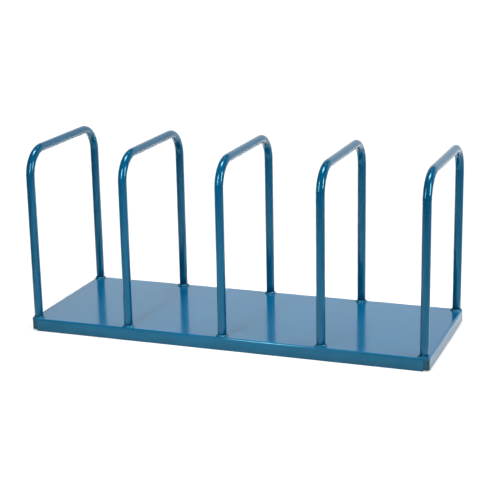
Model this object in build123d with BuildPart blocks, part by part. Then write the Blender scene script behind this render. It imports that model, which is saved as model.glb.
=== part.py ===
from build123d import *
import os

# A free-standing vertical divider rack for sheets, boards and panels: one deck
# folded from sheet steel, with five hoops of bent round tube welded upright
# across it. Everything is welded, so nothing moves.
#
# Millimetres. The origin is on the floor under the middle of the deck, +X runs
# along the deck, +Y from its front to its back, and +Z up.

INCH = 25.4

# Overall size
DECK_LENGTH = 48 * INCH
DECK_DEPTH = 18 * INCH
OVERALL_HEIGHT = 22 * INCH
LIP_HEIGHT = 1.5 * INCH

# Deck sheet, 12 gauge
SHEET = 2.66
BEND_R = 5.0
LIP_END_INSET = 17.0
LIP_CORNER_R = 4.0
END_LIP_SHORTFALL = 4.0
TAB_LENGTH = 45.0

# Hoops, 1 inch round tube in 16 gauge
HOOP_COUNT = 5
TUBE_R = INCH / 2
TUBE_WALL = 1.65
HOOP_BEND_R = 3 * INCH
FOOT_INSET_X = 17.0
FOOT_INSET_Y = 15.5

# Welds
FOOT_WELD_LEG = 4.5
FOOT_WELD_ROOT = 2.5
WELD_EDGE_GAP = 0.7
SEAM_WELD_WIDTH = 4.5
SEAM_WELD_CLEAR = 2.0

# Stiffening channel under the deck, 14 gauge
CHANNEL_SHEET = 1.9
CHANNEL_BEND_R = 2 * CHANNEL_SHEET
CHANNEL_WIDTH = 3 * INCH
CHANNEL_HEIGHT = 1 * INCH
CHANNEL_END_GAP = 3.0
STITCH_LENGTH = 40.0
STITCH_COUNT = 5
STITCH_PITCH = 270.0
STITCH_REACH = 3.0
STITCH_DROP = 0.5

# Places worked out from the sizes above
END_X = DECK_LENGTH / 2
LIP_END_X = END_X - LIP_END_INSET
FRONT_Y = -DECK_DEPTH / 2
TAB_Y = DECK_DEPTH / 2 - SHEET
UNDERSIDE_Z = LIP_HEIGHT - SHEET
TAB_TOP_Z = LIP_HEIGHT - BEND_R
FOOT_X = END_X - FOOT_INSET_X
FOOT_Y = DECK_DEPTH / 2 - FOOT_INSET_Y
HOOP_PITCH = 2 * FOOT_X / (HOOP_COUNT - 1)
HOOP_TOP_Z = OVERALL_HEIGHT - TUBE_R
HOOP_X = [index * HOOP_PITCH - FOOT_X for index in range(HOOP_COUNT)]

os.makedirs("parts", exist_ok=True)


def save(part, name):
    """Label a finished piece and write it as its own STEP file."""
    part.label = name
    export_step(part, f"parts/{name}.step")


def make_deck_tray():
    """The deck: a flat top, long lips at front and back, and end lips with tabs behind the long ones."""
    mid_r = BEND_R - SHEET / 2
    mid_top = LIP_HEIGHT - SHEET / 2
    mid_x = END_X - SHEET / 2
    mid_lip_y = DECK_DEPTH / 2 - SHEET / 2
    mid_tab_y = TAB_Y - SHEET / 2

    with BuildPart() as tray:
        # Flat top with the front and back lips, which stand on the floor
        with BuildSketch(Plane.YZ):
            with BuildLine():
                FilletPolyline(
                    (-mid_lip_y, 0),
                    (-mid_lip_y, mid_top),
                    (mid_lip_y, mid_top),
                    (mid_lip_y, 0),
                    radius=mid_r,
                )
            trace(line_width=SHEET)
        extrude(amount=LIP_END_X, both=True)

        # End of the flat top, reaching over the tabs
        with BuildSketch(Plane.XY.offset(UNDERSIDE_Z)):
            with Locations((LIP_END_X, 0)):
                Rectangle(LIP_END_INSET - BEND_R, 2 * TAB_Y, align=(Align.MIN, Align.CENTER))
        extrude(amount=SHEET)

        # End lip and its bend, stopping short of the corners
        with BuildSketch(Plane.XZ):
            with BuildLine():
                FilletPolyline(
                    (LIP_END_X, mid_top),
                    (mid_x, mid_top),
                    (mid_x, END_LIP_SHORTFALL),
                    radius=mid_r,
                )
            trace(line_width=SHEET)
        extrude(amount=TAB_Y - BEND_R, both=True)

        # Tabs folded back from the end lip, behind the front and back lips
        with BuildSketch(Plane.XY.offset(END_LIP_SHORTFALL)):
            with BuildLine():
                FilletPolyline(
                    (END_X - TAB_LENGTH, -mid_tab_y),
                    (mid_x, -mid_tab_y),
                    (mid_x, mid_tab_y),
                    (END_X - TAB_LENGTH, mid_tab_y),
                    radius=mid_r,
                )
            trace(line_width=SHEET)
        extrude(amount=TAB_TOP_Z - END_LIP_SHORTFALL)

        # Rounded top corner where the front lip ends
        with BuildSketch(Plane.XZ.offset(TAB_Y)):
            with Locations((LIP_END_X, LIP_HEIGHT)):
                Rectangle(LIP_CORNER_R, LIP_CORNER_R, align=(Align.MAX, Align.MAX))
            with Locations((LIP_END_X - LIP_CORNER_R, LIP_HEIGHT - LIP_CORNER_R)):
                Circle(LIP_CORNER_R, mode=Mode.SUBTRACT)
        corner_cut = extrude(amount=SHEET, mode=Mode.SUBTRACT)
        mirror(corner_cut, about=Plane.XZ, mode=Mode.SUBTRACT)

        # The other end is the mirror image
        split(bisect_by=Plane.YZ)
        mirror(about=Plane.YZ)
    return tray.part


def make_corner_weld(tray):
    """Weld metal at the right front corner: the seam beside the lip, the slit over the tab and the corner."""
    with BuildPart() as weld:
        # Slit between the tab and the deck's cut edge
        with BuildSketch(Plane.XY.offset(TAB_TOP_Z)):
            with Locations((LIP_END_X, -TAB_Y)):
                Rectangle(LIP_END_INSET - BEND_R, SHEET, align=Align.MIN)
        extrude(amount=UNDERSIDE_Z - TAB_TOP_Z)

        # Corner, where the end bend and the tab's bend both stop short
        with BuildSketch(Plane.XY.offset(TAB_TOP_Z)):
            with Locations((END_X, -TAB_Y)):
                Rectangle(BEND_R, BEND_R, align=(Align.MAX, Align.MIN))
        corner_block = extrude(amount=BEND_R)
        upright = corner_block.edges().filter_by(Axis.Z).group_by(Axis.Y)[0].sort_by(Axis.X)[-1]
        end_edge = corner_block.edges().filter_by(Axis.Y).group_by(Axis.Z)[-1].sort_by(Axis.X)[-1]
        fillet([upright, end_edge], BEND_R - WELD_EDGE_GAP)

        # Fillet bead in the step between the lip's end and the tab
        with BuildSketch(Plane.XY.offset(END_LIP_SHORTFALL + SEAM_WELD_CLEAR)):
            with BuildLine():
                Polyline(
                    (LIP_END_X, -TAB_Y),
                    (LIP_END_X + SEAM_WELD_WIDTH, -TAB_Y),
                    (LIP_END_X, FRONT_Y + WELD_EDGE_GAP),
                    close=True,
                )
            make_face()
        extrude(amount=UNDERSIDE_Z - END_LIP_SHORTFALL - SEAM_WELD_CLEAR)
        add(tray, mode=Mode.SUBTRACT)
    return weld.part


def make_hoop(x):
    """One upright hoop of bent tube, standing on the deck across its depth."""
    with BuildPart() as hoop:
        with BuildLine(Plane.YZ.offset(x)) as path:
            FilletPolyline(
                (-FOOT_Y, LIP_HEIGHT),
                (-FOOT_Y, HOOP_TOP_Z),
                (FOOT_Y, HOOP_TOP_Z),
                (FOOT_Y, LIP_HEIGHT),
                radius=HOOP_BEND_R,
            )
        with BuildSketch(Plane.XY.offset(LIP_HEIGHT)):
            with Locations((x, -FOOT_Y)):
                Circle(TUBE_R)
                Circle(TUBE_R - TUBE_WALL, mode=Mode.SUBTRACT)
        sweep(path=path.line)
    return hoop.part


def make_foot_weld(x, y, neighbours):
    """Fillet weld all round one tube foot, lying on the deck and following its edge bend."""
    with BuildPart() as weld:
        with BuildSketch(Plane.XZ.offset(-y)):
            with BuildLine():
                toe = (x + TUBE_R + FOOT_WELD_LEG, LIP_HEIGHT)
                crown = (x + TUBE_R, LIP_HEIGHT + FOOT_WELD_LEG)
                RadiusArc(toe, crown, -2 * FOOT_WELD_LEG)
                Polyline(
                    crown,
                    (x + TUBE_R, LIP_HEIGHT - FOOT_WELD_ROOT),
                    (x + TUBE_R + FOOT_WELD_LEG, LIP_HEIGHT - FOOT_WELD_ROOT),
                    toe,
                )
            make_face()
        revolve(axis=Axis((x, y, 0), (0, 0, 1)))

        # Only where there is deck to lie on
        with BuildSketch(Plane.XY.offset(LIP_HEIGHT - FOOT_WELD_ROOT)):
            Rectangle(2 * LIP_END_X - LIP_CORNER_R, DECK_DEPTH - 2 * WELD_EDGE_GAP)
            Rectangle(DECK_LENGTH - 2 * WELD_EDGE_GAP, 2 * TAB_Y)
        extrude(amount=FOOT_WELD_ROOT + FOOT_WELD_LEG, mode=Mode.INTERSECT)
        for neighbour in neighbours:
            add(neighbour, mode=Mode.SUBTRACT)
    return weld.part


def make_deck_channel():
    """Channel under the middle of the deck, its web against the sheet and its flanges down."""
    mid_y = CHANNEL_WIDTH / 2 - CHANNEL_SHEET / 2
    mid_top = UNDERSIDE_Z - CHANNEL_SHEET / 2
    bottom = UNDERSIDE_Z - CHANNEL_HEIGHT

    with BuildPart() as channel:
        with BuildSketch(Plane.YZ):
            with BuildLine():
                FilletPolyline(
                    (-mid_y, bottom),
                    (-mid_y, mid_top),
                    (mid_y, mid_top),
                    (mid_y, bottom),
                    radius=CHANNEL_BEND_R - CHANNEL_SHEET / 2,
                )
            trace(line_width=CHANNEL_SHEET)
        extrude(amount=END_X - SHEET - CHANNEL_END_GAP, both=True)
    return channel.part


def make_channel_welds(channel):
    """Stitch welds in the flare between the deck's underside and each bend of the channel."""
    side = CHANNEL_WIDTH / 2
    bottom = UNDERSIDE_Z - CHANNEL_BEND_R - STITCH_DROP

    with BuildPart() as welds:
        for index in range(STITCH_COUNT):
            middle = (index - (STITCH_COUNT - 1) / 2) * STITCH_PITCH
            with BuildSketch(Plane.YZ.offset(middle)):
                with BuildLine():
                    Polyline(
                        (side - CHANNEL_SHEET, UNDERSIDE_Z),
                        (side + STITCH_REACH, UNDERSIDE_Z),
                        (side, bottom),
                        (side - CHANNEL_SHEET, bottom),
                        close=True,
                    )
                make_face()
                mirror(about=Plane.YZ)
            extrude(amount=STITCH_LENGTH / 2, both=True)
        add(channel, mode=Mode.SUBTRACT)
    return welds.part


deck_tray = make_deck_tray()
save(deck_tray, "deck_tray")

front_right_weld = make_corner_weld(deck_tray)
front_left_weld = front_right_weld.mirror(Plane.YZ)
corner_welds = {
    "corner_weld_front_left": front_left_weld,
    "corner_weld_front_right": front_right_weld,
    "corner_weld_back_left": front_left_weld.mirror(Plane.XZ),
    "corner_weld_back_right": front_right_weld.mirror(Plane.XZ),
}
for weld_name, corner_weld in corner_welds.items():
    save(corner_weld, weld_name)

for number, hoop_x in enumerate(HOOP_X, start=1):
    hoop = make_hoop(hoop_x)
    save(hoop, f"hoop_{number}")
    neighbours = [deck_tray, hoop, *corner_welds.values()]
    save(make_foot_weld(hoop_x, -FOOT_Y, neighbours), f"foot_weld_{number}_front")
    save(make_foot_weld(hoop_x, FOOT_Y, neighbours), f"foot_weld_{number}_back")

deck_channel = make_deck_channel()
save(deck_channel, "deck_channel")
save(make_channel_welds(deck_channel), "channel_welds")
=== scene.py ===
import math

import bmesh
import bpy
from mathutils import Matrix, Vector, noise


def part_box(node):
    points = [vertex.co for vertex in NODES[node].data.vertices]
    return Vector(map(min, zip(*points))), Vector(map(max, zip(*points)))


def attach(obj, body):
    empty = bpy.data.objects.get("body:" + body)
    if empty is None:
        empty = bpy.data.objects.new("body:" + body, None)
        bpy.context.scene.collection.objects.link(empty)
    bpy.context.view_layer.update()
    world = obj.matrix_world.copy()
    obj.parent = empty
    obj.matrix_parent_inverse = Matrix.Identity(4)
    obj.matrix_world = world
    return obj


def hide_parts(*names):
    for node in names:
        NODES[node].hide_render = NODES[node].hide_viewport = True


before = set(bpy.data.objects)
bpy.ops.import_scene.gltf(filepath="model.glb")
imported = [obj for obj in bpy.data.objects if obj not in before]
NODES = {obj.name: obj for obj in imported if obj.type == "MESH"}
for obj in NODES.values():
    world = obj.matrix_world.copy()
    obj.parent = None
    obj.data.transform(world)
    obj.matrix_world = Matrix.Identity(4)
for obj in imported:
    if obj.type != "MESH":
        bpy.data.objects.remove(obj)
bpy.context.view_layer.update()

BODY = "root"
MM = 0.001

# Sizes of the real rack that the frame doesn't name
DECK_BEND_R = 5.0 * MM
SHEET = 2.66 * MM
LIP_END_INSET = 17.0 * MM
TUBE_WALL = 1.65 * MM
HOOP_BEND_R = 76.2 * MM
CHANNEL_BEND_R = 3.8 * MM

# Places that the frame gives
DECK_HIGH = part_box("deck_tray")[1]
CHANNEL_LOW, CHANNEL_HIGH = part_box("deck_channel")
DECK_TOP = DECK_HIGH[2]
UNDERSIDE = DECK_TOP - SHEET
HOOP_NAMES = sorted(name for name in NODES if name.startswith("hoop_"))
FOOT_WELD_NAMES = sorted(name for name in NODES if name.startswith("foot_weld_"))
CORNER_WELD_NAMES = sorted(name for name in NODES if name.startswith("corner_weld_"))


# ---------------------------------------------------------------- mesh tools

SEED_STEP_Y = 7.31
SEED_STEP_Z = 3.77


def new_piece(name, mesh, material, replaced):
    """Put a finished mesh in the scene as a painted piece that stands for some CAD nodes."""
    piece = bpy.data.objects.new(name, mesh)
    bpy.context.scene.collection.objects.link(piece)
    mesh.materials.append(material)
    for polygon in mesh.polygons:
        polygon.use_smooth = True
    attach(piece, BODY)
    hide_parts(*replaced)
    return piece


def mesh_from(name, build):
    """A mesh made by a function that fills a bmesh, with its faces turned outward."""
    shape = bmesh.new()
    build(shape)
    bmesh.ops.recalc_face_normals(shape, faces=shape.faces)
    mesh = bpy.data.meshes.new(name)
    shape.to_mesh(mesh)
    shape.free()
    return mesh


def add_rings(shape, rings, closed_path):
    """Skin a row of equal rings of points into faces; a closed path joins the last ring to the first."""
    rows = [[shape.verts.new(point) for point in ring] for ring in rings]
    count = len(rows[0])
    last = len(rows) if closed_path else len(rows) - 1
    for i in range(last):
        here, there = rows[i], rows[(i + 1) % len(rows)]
        for j in range(count):
            k = (j + 1) % count
            shape.faces.new((here[j], here[k], there[k], there[j]))
    return rows


def wander(seed, place, scale):
    """Smooth, repeatable noise between about -1 and 1."""
    return noise.noise(Vector((place * scale, seed * SEED_STEP_Y, seed * SEED_STEP_Z)))


def uneven(seed, place, amount):
    """Smooth noise along a bead, where amount is its size, its scale and its own shift of the seed."""
    size, scale, shift = amount
    return size * wander(seed + shift, place, scale)


# ---------------------------------------------------------------- hoops

RING_POINTS = 48
BEND_STEPS = 28
LEG_STEPS = 12
BAR_STEPS = 8
BEND_FLATTEN = 0.035
BEND_WIDEN = 0.010


def hoop_path(low, high):
    """Centreline of a hoop as (point, direction, bend share) from the front foot to the back foot."""
    radius = (high[0] - low[0]) / 2
    x = (low[0] + high[0]) / 2
    front, back = low[1] + radius, high[1] - radius
    foot, top = low[2], high[2] - radius
    path = []
    for i in range(LEG_STEPS):
        z = foot + (top - HOOP_BEND_R - foot) * i / LEG_STEPS
        path.append((Vector((x, front, z)), Vector((0, 0, 1)), 0.0))
    for i in range(BEND_STEPS + 1):
        turn = math.pi / 2 * i / BEND_STEPS
        y = front + HOOP_BEND_R * (1 - math.cos(turn))
        z = top - HOOP_BEND_R * (1 - math.sin(turn))
        direction = Vector((0, math.sin(turn), math.cos(turn)))
        path.append((Vector((x, y, z)), direction, math.sin(2 * turn) ** 0.5))
    for i in range(1, BAR_STEPS):
        y = front + HOOP_BEND_R + (back - front - 2 * HOOP_BEND_R) * i / BAR_STEPS
        path.append((Vector((x, y, top)), Vector((0, 1, 0)), 0.0))
    half = path[:LEG_STEPS + BEND_STEPS + 1]
    middle = (front + back) / 2
    for point, direction, share in reversed(half):
        mirrored = Vector((x, 2 * middle - point.y, point.z))
        path.append((mirrored, Vector((0, direction.y, -direction.z)), share))
    return path


def tube_ring(point, direction, share, radius):
    """Ring of points round the tube, a little flattened where the tube is bent."""
    inward = Vector((0, direction.z, -direction.y))
    ring = []
    for i in range(RING_POINTS):
        turn = 2 * math.pi * i / RING_POINTS
        side = radius * math.cos(turn) * (1 + BEND_WIDEN * share)
        rise = radius * math.sin(turn) * (1 - BEND_FLATTEN * share)
        ring.append(point + Vector((side, 0, 0)) + inward * rise)
    return ring


def make_hoop(name, material):
    """A hollow bent tube, open at its two feet."""
    low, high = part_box(name)
    outer = (high[0] - low[0]) / 2
    inner = outer - TUBE_WALL
    path = hoop_path(low, high)

    def build(shape):
        skin = add_rings(shape, [tube_ring(*step, outer) for step in path], closed_path=False)
        bore = add_rings(shape, [tube_ring(*step, inner) for step in path], closed_path=False)
        for end in (0, -1):
            for j in range(RING_POINTS):
                k = (j + 1) % RING_POINTS
                shape.faces.new((skin[end][j], skin[end][k], bore[end][k], bore[end][j]))

    return new_piece(f"bent_tube_{name}", mesh_from(name, build), material, [name])


# ---------------------------------------------------------------- foot welds

BEAD_STEPS = 144
BEAD_PROFILE = 11
BEAD_LEG = 5.8 * MM
BEAD_RISE = 6.0 * MM
BEAD_BULGE = 0.85 * MM
BEAD_ROOT = 0.5 * MM
BEAD_SINK = BEAD_ROOT * 0.4
EDGE_MARGIN = 0.7 * MM
NO_STEP = 1e-6

# Ripples: their height, how many go round a foot, how far they curve, and the middle that they swing about
BEAD_RIPPLE = 0.42 * MM
BEAD_RIPPLES = 30
BEAD_CHEVRON = 1.3
RIPPLE_MIDDLE = 0.6

# Unevenness of the bead: size, scale and shift of the seed
LEG_UNEVEN = (0.26, 150, 0)
LEG_ROUGH = (0.10, 600, 40)
RISE_UNEVEN = (0.28, 170, 80)
RIPPLE_DRIFT = (1.5, 150, 120)

# Blobs where the weld was started, stopped and restarted: angle, width, height and how much the height varies
BLOBS = (
    (-0.35, 0.34, 1.0, 0.3),
    (math.pi + 0.45, 0.30, 0.75, 0.3),
    (math.pi / 2, 0.22, 0.35, 0.0),
)
BLOB_SIZE = 1.6 * MM
BLOB_RISE = 0.8
BLOB_TURN = 0.5
BLOB_SCALE = 3.3
FOOT_SEED = 1


def deck_surface(x, y):
    """Height of the deck's top at a place, following the bends along its edges."""
    drop = 0.0
    for place, limit in ((abs(x), DECK_HIGH[0]), (abs(y), DECK_HIGH[1])):
        over = min(max(place - (limit - DECK_BEND_R), 0.0), DECK_BEND_R)
        drop = max(drop, DECK_BEND_R - math.sqrt(DECK_BEND_R ** 2 - over ** 2))
    return DECK_TOP - drop


def reach_to_edge(x, y, turn):
    """How far one may go from a place, in one direction, before the deck's outline."""
    reach = math.inf
    limit_x = DECK_HIGH[0] - EDGE_MARGIN
    past_lip = abs(x) + LIP_END_INSET > limit_x and math.cos(turn) * x > 0
    limit_y = DECK_HIGH[1] - (SHEET if past_lip else EDGE_MARGIN)
    for place, step, limit in ((x, math.cos(turn), limit_x), (y, math.sin(turn), limit_y)):
        if abs(step) > NO_STEP:
            reach = min(reach, (math.copysign(limit, step) - place) / step)
    return reach


def foot_blobs(seed):
    """Angle, width and height of each blob round one foot."""
    turn = BLOB_TURN * wander(seed, 1, BLOB_SCALE)
    return [
        (angle + turn, width, height + varies * wander(seed, place, BLOB_SCALE))
        for place, (angle, width, height, varies) in enumerate(BLOBS, start=2)
    ]


def bead_section(centre, radius, turn, seed):
    """Closed section of the bead at one angle round the foot, from the tube down to the deck."""
    outward = Vector((math.cos(turn), math.sin(turn), 0))
    along = radius * turn
    blob = sum(
        BLOB_SIZE * height * math.exp(-((math.remainder(turn - place, 2 * math.pi) / width) ** 2))
        for place, width, height in foot_blobs(seed)
    )
    rough = 1 + uneven(seed, along, LEG_UNEVEN) + uneven(seed, along, LEG_ROUGH)
    leg = BEAD_LEG * rough + blob
    rise = BEAD_RISE * (1 + uneven(seed, along, RISE_UNEVEN)) + BLOB_RISE * blob
    toe_reach = min(radius + leg, reach_to_edge(centre.x, centre.y, turn))
    toe = centre + outward * toe_reach
    toe.z = deck_surface(toe.x, toe.y) - BEAD_SINK
    crown = centre + outward * (radius - BEAD_SINK)
    crown.z = DECK_TOP + rise
    normal = (outward * (crown.z - toe.z) + Vector((0, 0, 1)) * (toe_reach - radius)).normalized()
    section = []
    for i in range(BEAD_PROFILE):
        share = i / (BEAD_PROFILE - 1)
        arch = math.sin(math.pi * share)
        phase = BEAD_RIPPLES * turn + BEAD_CHEVRON * (2 * share - 1) ** 2
        phase += uneven(seed, along, RIPPLE_DRIFT)
        ripple = BEAD_RIPPLE * (abs(math.sin(phase / 2)) - RIPPLE_MIDDLE) * arch ** 0.5
        section.append(crown.lerp(toe, share) + normal * (BEAD_BULGE * arch + ripple))
    root_out = toe - Vector((0, 0, BEAD_ROOT))
    root_in = centre + outward * (radius - BEAD_SINK)
    root_in.z = min(DECK_TOP, root_out.z) - BEAD_ROOT
    return section + [root_out, root_in]


def make_foot_weld(name, seed, material):
    """Rippled fillet bead all round one tube foot."""
    number, side = name.split("_")[-2:]
    low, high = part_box(f"hoop_{number}")
    radius = (high[0] - low[0]) / 2
    y = low[1] + radius if side == "front" else high[1] - radius
    centre = Vector(((low[0] + high[0]) / 2, y, DECK_TOP))

    def build(shape):
        turns = [2 * math.pi * i / BEAD_STEPS for i in range(BEAD_STEPS)]
        add_rings(shape, [bead_section(centre, radius, turn, seed) for turn in turns], closed_path=True)

    return new_piece(f"bead_{name}", mesh_from(name, build), material, [name])


# ---------------------------------------------------------------- straight beads

STRAIGHT_PROFILE = 13
STRAIGHT_STEP = 0.35 * MM
STRAIGHT_LEAST_STEPS = 8
STRAIGHT_RIPPLE = 0.09
STRAIGHT_RIPPLE_PITCH = 1.7 * MM
WIDTH_UNEVEN = (0.10, 330, 0)
HEIGHT_UNEVEN = (0.16, 250, 9)
END_TAPER = 0.45
END_BLUNT = 0.12

# The bead down each corner's seam
SEAM_WIDTH = 5.0 * MM
SEAM_HEIGHT = 1.5 * MM
SEAM_ASIDE = 0.4 * MM
SEAM_SINK = 0.2 * MM
SEAM_LEAN = 0.8
SEAM_ABOVE_RIM = 1.0 * MM
SEAM_BELOW_TOP = 2.5 * MM

# The bead along the slit over each tab
SLIT_WIDTH = 3.6 * MM
SLIT_HEIGHT = 1.6 * MM
SLIT_SINK = 0.9 * MM
SLIT_PAST_SEAM = 1.0 * MM
SLIT_PAST_BEND = 1.5 * MM

# The lump that closes each corner, with its unevenness as size and scale
CAP_FINENESS = 4
CAP_SHARE = 0.965
CAP_SWELL = (0.05, 2.3)
CAP_ROUGH = (0.02, 7.0)
CORNER_SEED = 50
SLIT_SEED_SHIFT = 3

# The stitches under the deck
STITCH_SPOTS = 5
STITCH_LENGTH = 40.0 * MM
STITCH_PITCH = 270.0 * MM
STITCH_WIDTH = 5.4 * MM
STITCH_HEIGHT = 2.0 * MM
STITCH_DEPTH = CHANNEL_BEND_R * 0.45
STITCH_SEED = 20


def add_straight_bead(shape, start, end, facing, width, height, seed):
    """A rippled bead from start to end, standing proud towards facing and sunk below its seam."""
    along = end - start
    length = along.length
    direction = along.normalized()
    across = direction.cross(facing).normalized()
    steps = max(STRAIGHT_LEAST_STEPS, int(length / STRAIGHT_STEP))
    rings = []
    for i in range(steps + 1):
        place = i / steps * length
        from_end = min(place, length - place)
        end_fade = min(1.0, from_end / (width * END_TAPER) + END_BLUNT) ** 0.5
        wide = width * end_fade * (1 + uneven(seed, place, WIDTH_UNEVEN))
        tall = height * end_fade * (1 + uneven(seed, place, HEIGHT_UNEVEN))
        ring = []
        for j in range(STRAIGHT_PROFILE):
            turn = 2 * math.pi * j / STRAIGHT_PROFILE
            out = math.cos(turn)
            phase = 2 * math.pi * place / STRAIGHT_RIPPLE_PITCH + BEAD_CHEVRON * math.sin(turn) ** 2
            ripple = STRAIGHT_RIPPLE * height * math.sin(phase) * max(out, 0)
            offset = facing * (tall * out + ripple) + across * (wide / 2 * math.sin(turn))
            ring.append(start + direction * place + offset)
        rings.append(ring)
    rows = add_rings(shape, rings, closed_path=False)
    shape.faces.new(rows[0])
    shape.faces.new(rows[-1])


def add_corner_cap(shape, corner, sign_x, sign_y, seed):
    """Lump of weld that closes the corner where the deck's two bends stop short."""
    swell_size, swell_scale = CAP_SWELL
    rough_size, rough_scale = CAP_ROUGH
    middle = corner - Vector((sign_x * DECK_BEND_R, sign_y * DECK_BEND_R, DECK_BEND_R))
    made = bmesh.ops.create_icosphere(shape, subdivisions=CAP_FINENESS, radius=1.0)
    for vert in made["verts"]:
        direction = vert.co.normalized()
        swell = 1 + swell_size * noise.noise(direction * swell_scale + Vector((seed, 0, 0)))
        swell += rough_size * noise.noise(direction * rough_scale + Vector((0, seed, 0)))
        vert.co = middle + direction * (DECK_BEND_R * CAP_SHARE * swell)


def make_corner_weld(name, seed, material):
    """The welded corner: a bead down the seam, a bead over the tab and a lump at the corner."""
    low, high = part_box(name)
    sign_x = math.copysign(1, low[0])
    sign_y = math.copysign(1, low[1])
    out_x, out_y, up = Vector((sign_x, 0, 0)), Vector((0, sign_y, 0)), Vector((0, 0, 1))
    tab_y = sign_y * (DECK_HIGH[1] - SHEET)
    seam_x = sign_x * (DECK_HIGH[0] - LIP_END_INSET)
    end_x = sign_x * (DECK_HIGH[0] - DECK_BEND_R)
    slit_z = (UNDERSIDE + DECK_TOP - DECK_BEND_R) / 2
    corner = Vector((sign_x * DECK_HIGH[0], tab_y, DECK_TOP))

    def build(shape):
        seam = Vector((seam_x + sign_x * SEAM_ASIDE, tab_y - sign_y * SEAM_SINK, 0))
        bottom = seam + up * (low[2] + SEAM_ABOVE_RIM)
        top = seam + up * (DECK_TOP - SEAM_BELOW_TOP)
        facing = (out_x * SEAM_LEAN + out_y).normalized()
        add_straight_bead(shape, bottom, top, facing, SEAM_WIDTH, SEAM_HEIGHT, seed)

        slit = Vector((0, tab_y - sign_y * SLIT_SINK, slit_z))
        inner = slit + Vector((seam_x - sign_x * SLIT_PAST_SEAM, 0, 0))
        outer = slit + Vector((end_x + sign_x * SLIT_PAST_BEND, 0, 0))
        slit_seed = seed + SLIT_SEED_SHIFT
        add_straight_bead(shape, inner, outer, out_y, SLIT_WIDTH, SLIT_HEIGHT, slit_seed)

        add_corner_cap(shape, corner, sign_x, sign_y, seed)

    return new_piece(f"bead_{name}", mesh_from(name, build), material, [name])


def make_channel_welds(material):
    """Stitch beads in the flare between the deck's underside and the channel's two bends."""

    def build(shape):
        half = Vector((STITCH_LENGTH / 2, 0, 0))
        for index in range(STITCH_SPOTS):
            middle = (index - (STITCH_SPOTS - 1) / 2) * STITCH_PITCH
            for side, edge in ((-1, CHANNEL_LOW[1]), (1, CHANNEL_HIGH[1])):
                flare = Vector((middle, edge, UNDERSIDE - STITCH_DEPTH))
                start, end = flare - half, flare + half
                facing = Vector((0, side, -1)).normalized()
                seed = STITCH_SEED + index * 2 + side
                add_straight_bead(shape, start, end, facing, STITCH_WIDTH, STITCH_HEIGHT, seed)

    return new_piece("stitch_beads", mesh_from("stitch_beads", build), material, ["channel_welds"])


# ---------------------------------------------------------------- paint

PAINT_IOR = 1.58
PAINT_SHEEN = (0.34, 0.88, 1.0, 1.0)
PAINT_BLUE = (0.0008, 0.097, 0.220, 1.0)
PAINT_DEEP = (0.0006, 0.083, 0.196, 1.0)
PAINT_PALE = (0.003, 0.117, 0.242, 1.0)
PAINT_WORN = (0.060, 0.240, 0.390, 1.0)
PAINT_POOLED = (0.002, 0.070, 0.160, 1.0)
# Painted shade: the dark colour that crevices and recesses are painted with
PAINT_CREVICE_SHADE = (0.0008, 0.028, 0.060, 1.0)
# Painted shade at the deck's corners
PAINT_CORNER_SHADE = (0.006, 0.022, 0.034, 1.0)
# Painted shade on the lips
PAINT_LIP_SHADE = (0.004, 0.016, 0.026, 1.0)
DUST = (0.16, 0.20, 0.23, 1.0)

# Spans of values that are stretched, and what they are stretched to
WIDE = (0.3, 0.7)
RISING = (0.0, 1.0)
FALLING = (1.0, 0.0)

# Each NOISE is its scale, its detail, its roughness and any stretch of its place
DRIFT_NOISE = (2.6, 3.0)
DRIFT_SHARE = 0.55
MOTTLE_NOISE = (95.0, 3.0, 0.6)
MOTTLE_SPAN = (0.35, 0.65)
MOTTLE_SHARE = 0.22
CHIP_NOISE = (420.0, 4.0, 0.65)
CHIP_SPAN = (0.50, 0.62)
CHIP_RANGE = (0.25, 1.0)
POOL_NOISE = (150.0, 3.0)
POOL_SPAN = (0.45, 0.66)
SPECK_NOISE = (40.0, 5.0, 0.7)
SPECK_SPAN = (0.50, 0.80)

# Edges, and the painted shade in crevices
EDGE_REACH = 1.1 * MM
EDGE_SAMPLES = 4
EDGE_SPAN = (0.78, 0.99)
CREVICE_REACH = 7.0 * MM
CREVICE_SAMPLES = 8
CREVICE_SPAN = (0.40, 0.85)
CREVICE_SHARE = 0.55

# Gloss
SMEAR_NOISE = (9.0, 4.0, 0.6, (1.0, 3.0, 1.0))
SMEAR_RANGE = (-0.035, 0.045)
MOTTLE_RANGE = (-0.012, 0.018)
WORN_ROUGHER = 0.12

# Surface
PEEL_NOISE = (380.0, 2.0)
PEEL_DEPTH = 0.06 * MM
WAVE_NOISE = (6.5, 1.0, 0.4)
WAVE_DEPTH = 1.6 * MM

# Painted shade at the deck's corners: distances from the seam, the end and the tab, and bend radii below the
# top
TAB_SHADE = 0.45
SEAM_START = 0.2 * MM
SEAM_DARK = (3.0 * MM, 4.5 * MM)
BEND_DARK = (9.0 * MM, 6.5 * MM)
TAB_DARK = (6.0 * MM, 4.0 * MM)
TOP_CLEAR = (1.0, 1.6)

# Painted shade on the lips: bend radii below the top, and the share of the deck's height where the darkening
# near the floor ends
LIP_SHADE_SHARE = 0.32
LIP_TOP = (0.2, 1.0)
RIM_SHADE_SHARE = 0.26
RIM_TOP = 0.6
PATCH_NOISE = (14.0, 3.0, 0.6, (1.0, 1.0, 3.0))
PATCH_RANGE = (0.75, 1.2)


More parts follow.
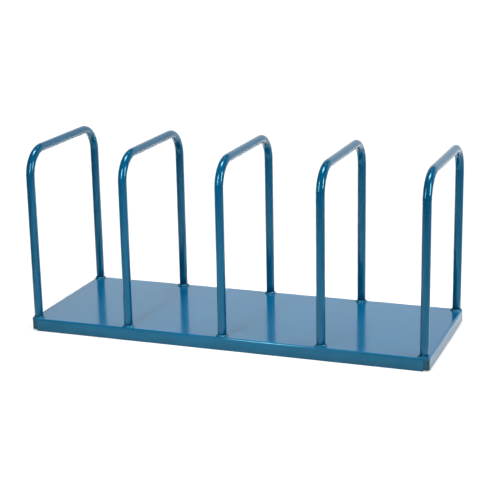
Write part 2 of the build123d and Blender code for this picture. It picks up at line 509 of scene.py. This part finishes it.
class Nodes:
    """Short ways to add and join the nodes of one material."""

    def __init__(self, name):
        self.material = bpy.data.materials.new(name)
        self.material.use_nodes = True
        self.tree = self.material.node_tree
        self.shader = self.tree.nodes["Principled BSDF"]
        self.place = self.add("ShaderNodeTexCoord").outputs["Object"]

    def add(self, kind, **settings):
        node = self.tree.nodes.new(kind)
        for key, value in settings.items():
            setattr(node, key, value)
        return node

    def link(self, source, target):
        self.tree.links.new(source, target)

    def noise(self, scale, detail, roughness=0.5, stretch=None):
        node = self.add("ShaderNodeTexNoise")
        node.inputs["Scale"].default_value = scale
        node.inputs["Detail"].default_value = detail
        node.inputs["Roughness"].default_value = roughness
        source = self.place
        if stretch:
            mapping = self.add("ShaderNodeMapping")
            mapping.inputs["Scale"].default_value = stretch
            self.link(source, mapping.inputs["Vector"])
            source = mapping.outputs["Vector"]
        self.link(source, node.inputs["Vector"])
        return node.outputs["Fac"]

    def remap(self, value, span, to):
        """Take a span of values to another one, and hold it there at both ends."""
        node = self.add("ShaderNodeMapRange", clamp=True)
        for socket, number in zip(node.inputs[1:5], span + to):
            socket.default_value = number
        self.link(value, node.inputs["Value"])
        return node.outputs["Result"]

    def math(self, operation, first, second):
        node = self.add("ShaderNodeMath", operation=operation)
        for socket, value in zip(node.inputs, (first, second)):
            if isinstance(value, (int, float)):
                socket.default_value = value
            else:
                self.link(value, socket)
        return node.outputs["Value"]

    def mix(self, factor, first, second):
        node = self.add("ShaderNodeMix", data_type="RGBA")
        self.link(factor, node.inputs["Factor"])
        for socket, value in ((node.inputs["A"], first), (node.inputs["B"], second)):
            if isinstance(value, tuple):
                socket.default_value = value
            else:
                self.link(value, socket)
        return node.outputs["Result"]

    def axes(self, vector):
        """The X, Y and Z of a vector."""
        split = self.add("ShaderNodeSeparateXYZ")
        self.link(vector, split.inputs["Vector"])
        return split.outputs["X"], split.outputs["Y"], split.outputs["Z"]

    def crevices(self, reach):
        """Ambient occlusion, about 1 in tight inner corners and 0 in the open; it sets where shade is
        painted.
        """
        node = self.add("ShaderNodeAmbientOcclusion", samples=CREVICE_SAMPLES)
        node.inputs["Distance"].default_value = reach
        return self.remap(node.outputs["AO"], CREVICE_SPAN, FALLING)

    def edges(self, radius):
        """About 1 on sharp edges and 0 away from them."""
        bevel = self.add("ShaderNodeBevel", samples=EDGE_SAMPLES)
        bevel.inputs["Radius"].default_value = radius
        flat = self.add("ShaderNodeNewGeometry").outputs["Normal"]
        dot = self.add("ShaderNodeVectorMath", operation="DOT_PRODUCT")
        self.link(bevel.outputs["Normal"], dot.inputs[0])
        self.link(flat, dot.inputs[1])
        return self.remap(dot.outputs["Value"], EDGE_SPAN, FALLING)

    def bump(self, height, depth, strength, below=None):
        """Raise the surface by a height, over the surface that another bump leaves."""
        node = self.add("ShaderNodeBump")
        node.inputs["Distance"].default_value = depth
        node.inputs["Strength"].default_value = strength
        self.link(height, node.inputs["Height"])
        if below:
            self.link(below, node.inputs["Normal"])
        return node.outputs["Normal"]


def painted_corner_shade(n):
    """Painted shade at the deck's four corners: dark on the upright bend, the tab and its seam."""
    x, y, z = n.axes(n.place)
    along = n.math("ABSOLUTE", x, 0.0)
    across = n.math("ABSOLUTE", y, 0.0)
    end, seam, tab = DECK_HIGH[0], DECK_HIGH[0] - LIP_END_INSET, DECK_HIGH[1] - SHEET
    at_seam = (seam - SEAM_START, seam)
    on_tab = n.remap(along, at_seam, (0.0, TAB_SHADE))
    past_seam = n.remap(along, at_seam, RISING)
    by_seam = n.remap(along, tuple(seam + far for far in SEAM_DARK), FALLING)
    on_bend = n.remap(along, tuple(end - far for far in BEND_DARK), RISING)
    dark = n.math("MAXIMUM", n.math("MULTIPLY", by_seam, past_seam), n.math("MAXIMUM", on_tab, on_bend))
    near_tab = n.remap(across, tuple(tab - far for far in TAB_DARK), RISING)
    below_top = n.remap(z, tuple(DECK_TOP - share * DECK_BEND_R for share in TOP_CLEAR), RISING)
    return n.math("MULTIPLY", n.math("MULTIPLY", dark, near_tab), below_top)


def painted_lip_shade(n):
    """Painted shade on the deck's turned-down lips, darker towards the floor."""
    z = n.axes(n.place)[2]
    bend = tuple(DECK_TOP - share * DECK_BEND_R for share in LIP_TOP)
    below_bend = n.remap(z, bend, (0.0, LIP_SHADE_SHARE))
    near_floor = n.remap(z, (RIM_TOP * DECK_TOP, 0.0), (0.0, RIM_SHADE_SHARE))
    patches = n.remap(n.noise(*PATCH_NOISE), WIDE, PATCH_RANGE)
    return n.math("MULTIPLY", n.math("ADD", below_bend, near_floor), patches)


def deeper(colour, share):
    """The same colour, darker by a share."""
    return tuple(value * share for value in colour[:3]) + (1.0,)


def paint_colour(n, mottle, worn, tone, pooled, dust, painted_shade):
    """Slow drift in thickness and fine mottling, pale where worn, dark where pooled, with painted shade in
    crevices and, where asked, on the lips and the deck's corners.
    """
    drift = n.remap(n.noise(*DRIFT_NOISE), WIDE, RISING)
    drift = n.math("MULTIPLY", drift, DRIFT_SHARE)
    colour = n.mix(drift, deeper(PAINT_BLUE, tone), deeper(PAINT_DEEP, tone))
    colour = n.mix(n.math("MULTIPLY", mottle, MOTTLE_SHARE), colour, deeper(PAINT_PALE, tone))
    if worn:
        colour = n.mix(worn, colour, PAINT_WORN)
    if pooled:
        pools = n.remap(n.noise(*POOL_NOISE), POOL_SPAN, (0.0, pooled))
        colour = n.mix(pools, colour, PAINT_POOLED)
    # Painted shade in crevices, from ambient occlusion
    crevices = n.math("MULTIPLY", n.crevices(CREVICE_REACH), CREVICE_SHARE)
    colour = n.mix(crevices, colour, PAINT_CREVICE_SHADE)
    if painted_shade:
        # Painted shade on the lips, darker towards the floor
        colour = n.mix(painted_lip_shade(n), colour, PAINT_LIP_SHADE)
        # Painted shade at the deck's corners: the upright bend, the tab and its seam
        colour = n.mix(painted_corner_shade(n), colour, PAINT_CORNER_SHADE)
    if dust:
        specks = n.remap(n.noise(*SPECK_NOISE), SPECK_SPAN, (0.0, dust))
        colour = n.mix(specks, colour, DUST)
    return colour


def paint_gloss(n, mottle, worn, roughness):
    """Smeared and mottled roughness, duller where worn."""
    smear = n.noise(*SMEAR_NOISE)
    gloss = n.math("ADD", n.remap(smear, WIDE, SMEAR_RANGE), roughness)
    gloss = n.math("ADD", gloss, n.remap(mottle, RISING, MOTTLE_RANGE))
    if worn:
        gloss = n.math("ADD", gloss, n.math("MULTIPLY", worn, WORN_ROUGHER))
    return gloss


def paint_surface(n, peel, wave):
    """Orange peel, over slow waves where the paint is on sheet."""
    waves = n.bump(n.noise(*WAVE_NOISE), WAVE_DEPTH, wave) if wave else None
    return n.bump(n.noise(*PEEL_NOISE), PEEL_DEPTH, peel, below=waves)


def make_paint(name, roughness, peel, wave=0.0, edge_wear=0.0, pooled=0.0, dust=0.0, tone=1.0, painted_shade=False):
    """Semi-gloss blue enamel with an uneven colour, gloss and surface, with painted shade in its crevices
    and, where asked, on the lips and the deck's corners.
    """
    n = Nodes(name)
    mottle = n.remap(n.noise(*MOTTLE_NOISE), MOTTLE_SPAN, RISING)
    worn = None
    if edge_wear:
        chips = n.remap(n.noise(*CHIP_NOISE), CHIP_SPAN, CHIP_RANGE)
        worn = n.math("MULTIPLY", n.math("MULTIPLY", n.edges(EDGE_REACH), chips), edge_wear)
    n.link(paint_colour(n, mottle, worn, tone, pooled, dust, painted_shade), n.shader.inputs["Base Color"])
    n.link(paint_gloss(n, mottle, worn, roughness), n.shader.inputs["Roughness"])
    n.link(paint_surface(n, peel, wave), n.shader.inputs["Normal"])
    n.shader.inputs["IOR"].default_value = PAINT_IOR
    n.shader.inputs["Specular Tint"].default_value = PAINT_SHEEN
    return n.material


def give_material(node_name, material):
    """Put a material on every slot of a CAD node that stays visible."""
    for slot in NODES[node_name].material_slots:
        slot.material = material


# ---------------------------------------------------------------- stage

CAMERA_YAW = 20.122
CAMERA_PITCH = 15.732
CAMERA_ROLL = -1.086
CAMERA_DISTANCE = 4.208
CAMERA_RIGHT = 0.0065
CAMERA_UP = 0.2286
LENS = 100.15
SENSOR_WIDTH = 36.0

FLOOR_HALF = 30.0
FLOOR_END = 6.0
FLOOR_CELLS = 8
FLOOR_WHITE = (0.86, 0.86, 0.86, 1.0)
FLOOR_COOL = (0.85, 0.85, 0.86, 1.0)
FLOOR_NOISE = (0.8, 2.0)
FLOOR_ROUGHNESS = 0.9
FLOOR_SHINE = 0.1

# Room that the paint mirrors, and where it changes with the direction looked in
BACKDROP = 1.0
BACKDROP_SPAN = (0.35, 0.75)
ROOM_DARK = 0.04
ROOM_ABOVE = 0.06
ABOVE_SPAN = (0.36, 0.74)

# White that the camera sees beyond the near floor: where it starts and is full, in metres from the middle
CLEAR_SPAN = (0.45, 1.00)
CLEAR_NARROW = 0.85
CLEAR_WHITE = 1.08

# Lights: name, place, point aimed at, width, height, level, spread in degrees
LIGHTS = (
    ("overhead_bank", (-0.06, 0.06, 1.5), (-0.06, 0.07, 0), 2.20, 3.42, 0.81, 31.0),
    ("left_strip", (-0.36, -1.36, 1.06), (-0.05, -0.2, 0.5), 0.26, 0.84, 8.0, 100.0),
    ("right_strip", (2.94, -0.80, 1.6), (0.0, -0.1, 0.45), 0.80, 1.6, 5.7, 100.0),
    ("left_floor_bank", (-1.75, 0.95, 1.5), (-1.75, 0.96, 0), 1.1, 1.5, 0.90, 40.0),
    ("background_bank", (-1.5, 4.4, 3.2), (-1.5, 4.41, 0), 8.0, 6.4, 1.40, 70.0),
)


def make_camera():
    """Long lens looking slightly down on the front from the right, a touch out of level."""
    yaw, pitch, roll = map(math.radians, (CAMERA_YAW, CAMERA_PITCH, CAMERA_ROLL))
    back = Vector((math.sin(yaw) * math.cos(pitch), -math.cos(yaw) * math.cos(pitch), math.sin(pitch)))
    level = Vector((math.cos(yaw), math.sin(yaw), 0))
    up = back.cross(level)
    right = level * math.cos(roll) + up * math.sin(roll)
    up = up * math.cos(roll) - level * math.sin(roll)

    camera = bpy.data.objects.new("camera", bpy.data.cameras.new("camera"))
    bpy.context.scene.collection.objects.link(camera)
    turn = Matrix((right, up, back)).transposed().to_4x4()
    place = right * CAMERA_RIGHT + up * CAMERA_UP + back * CAMERA_DISTANCE
    camera.matrix_world = Matrix.Translation(place) @ turn
    camera.data.lens = LENS
    camera.data.sensor_width = SENSOR_WIDTH
    bpy.context.scene.camera = camera


def clear_far_floor(n):
    """Away from the rack the camera sees the white backdrop; the paint still mirrors the lit floor."""
    x, y = n.axes(n.add("ShaderNodeNewGeometry").outputs["Position"])[:2]
    along = n.math("MULTIPLY", x, CLEAR_NARROW)
    squares = n.math("ADD", n.math("POWER", along, 2.0), n.math("POWER", y, 2.0))
    far = n.remap(n.math("SQRT", squares, 0.0), CLEAR_SPAN, RISING)
    seen = n.math("MULTIPLY", far, n.add("ShaderNodeLightPath").outputs["Is Camera Ray"])
    white = n.add("ShaderNodeEmission")
    white.inputs["Strength"].default_value = CLEAR_WHITE
    blend = n.add("ShaderNodeMixShader")
    n.link(seen, blend.inputs["Fac"])
    n.link(n.shader.outputs["BSDF"], blend.inputs[1])
    n.link(white.outputs["Emission"], blend.inputs[2])
    n.link(blend.outputs["Shader"], n.tree.nodes["Material Output"].inputs["Surface"])
    n.material.cycles.emission_sampling = "NONE"


def make_floor():
    """Plain pale studio floor."""

    def build(shape):
        bmesh.ops.create_grid(shape, x_segments=FLOOR_CELLS, y_segments=FLOOR_CELLS, size=FLOOR_HALF)
        bmesh.ops.translate(shape, verts=shape.verts, vec=(0, FLOOR_END - FLOOR_HALF, 0))

    mesh = mesh_from("floor", build)
    floor = bpy.data.objects.new("floor", mesh)
    bpy.context.scene.collection.objects.link(floor)
    n = Nodes("pale_floor")
    tone = n.remap(n.noise(*FLOOR_NOISE), WIDE, RISING)
    n.link(n.mix(tone, FLOOR_WHITE, FLOOR_COOL), n.shader.inputs["Base Color"])
    n.shader.inputs["Roughness"].default_value = FLOOR_ROUGHNESS
    n.shader.inputs["Specular IOR Level"].default_value = FLOOR_SHINE
    clear_far_floor(n)
    mesh.materials.append(n.material)


def make_world():
    """Room that the paint mirrors, bright behind and dim in front and above; the camera sees white."""
    world = bpy.data.worlds.new("studio")
    world.use_nodes = True
    tree = world.node_tree

    def add(kind, **settings):
        node = tree.nodes.new(kind)
        for key, value in settings.items():
            setattr(node, key, value)
        return node

    def ramp(source, span):
        node = add("ShaderNodeMapRange", clamp=True, interpolation_type="SMOOTHSTEP")
        for socket, number in zip(node.inputs[1:5], span + RISING):
            socket.default_value = number
        tree.links.new(source, node.inputs["Value"])
        return node.outputs["Result"]

    def mix(share, low, high):
        node = add("ShaderNodeMix", data_type="FLOAT")
        tree.links.new(share, node.inputs["Factor"])
        for socket, value in ((node.inputs["A"], low), (node.inputs["B"], high)):
            if isinstance(value, float):
                socket.default_value = value
            else:
                tree.links.new(value, socket)
        return node.outputs["Result"]

    split = add("ShaderNodeSeparateXYZ")
    tree.links.new(add("ShaderNodeTexCoord").outputs["Generated"], split.inputs["Vector"])
    behind = ramp(split.outputs["Y"], BACKDROP_SPAN)
    above = ramp(split.outputs["Z"], ABOVE_SPAN)
    level = mix(above, mix(behind, ROOM_DARK, BACKDROP), ROOM_ABOVE)
    level = mix(add("ShaderNodeLightPath").outputs["Is Camera Ray"], level, CLEAR_WHITE)
    background = tree.nodes["Background"]
    background.inputs["Color"].default_value = (1.0, 1.0, 1.0, 1.0)
    tree.links.new(level, background.inputs["Strength"])
    bpy.context.scene.world = world


def add_light(name, place, target, width, height, level, spread):
    """One soft rectangular light, aimed at a point; a narrower spread is brighter head on."""
    data = bpy.data.lights.new(name, "AREA")
    data.shape = "RECTANGLE"
    data.size, data.size_y = width, height
    data.energy = level * math.pi * width * height
    data.spread = math.radians(spread)
    light = bpy.data.objects.new(name, data)
    light.location = place
    light.rotation_euler = (Vector(target) - Vector(place)).to_track_quat("-Z", "Y").to_euler()
    light.visible_camera = False
    bpy.context.scene.collection.objects.link(light)


def make_view():
    """Plain colour reproduction, as a product photograph has."""
    scene = bpy.context.scene
    scene.view_settings.view_transform = "Standard"
    scene.view_settings.look = "None"


def make_stage():
    """Camera, room, lights and floor."""
    make_camera()
    make_world()
    for light in LIGHTS:
        add_light(*light)
    make_floor()
    make_view()


def make_rack():
    """Paint the deck and its channel, and replace the hoops and all the welds."""
    # The sheet's paint also gets the painted shade on its lips and at the deck's corners
    sheet_paint = make_paint(
        "enamel_on_sheet", roughness=0.13, peel=0.35, wave=0.10, edge_wear=0.35, painted_shade=True
    )
    # Painted shade: the tube, weld and seam paints are the sheet's enamel made darker by tone, the seam's
    # most of all
    tube_paint = make_paint("enamel_on_tube", roughness=0.10, peel=0.28, tone=0.68)
    weld_paint = make_paint("enamel_on_weld", roughness=0.12, peel=0.55, pooled=0.75, tone=0.85)
    seam_paint = make_paint("enamel_in_seam", roughness=0.22, peel=0.60, pooled=0.80, tone=0.40)
    hidden_paint = make_paint(
        "enamel_under_deck", roughness=0.34, peel=0.50, wave=0.05, edge_wear=0.30, dust=0.35
    )

    give_material("deck_tray", sheet_paint)
    give_material("deck_channel", hidden_paint)
    for name in HOOP_NAMES:
        make_hoop(name, tube_paint)
    for seed, name in enumerate(FOOT_WELD_NAMES, start=FOOT_SEED):
        make_foot_weld(name, seed, weld_paint)
    for seed, name in enumerate(CORNER_WELD_NAMES, start=CORNER_SEED):
        make_corner_weld(name, seed, seam_paint)
    make_channel_welds(weld_paint)


make_stage()
make_rack()
bpy.context.view_layer.update()
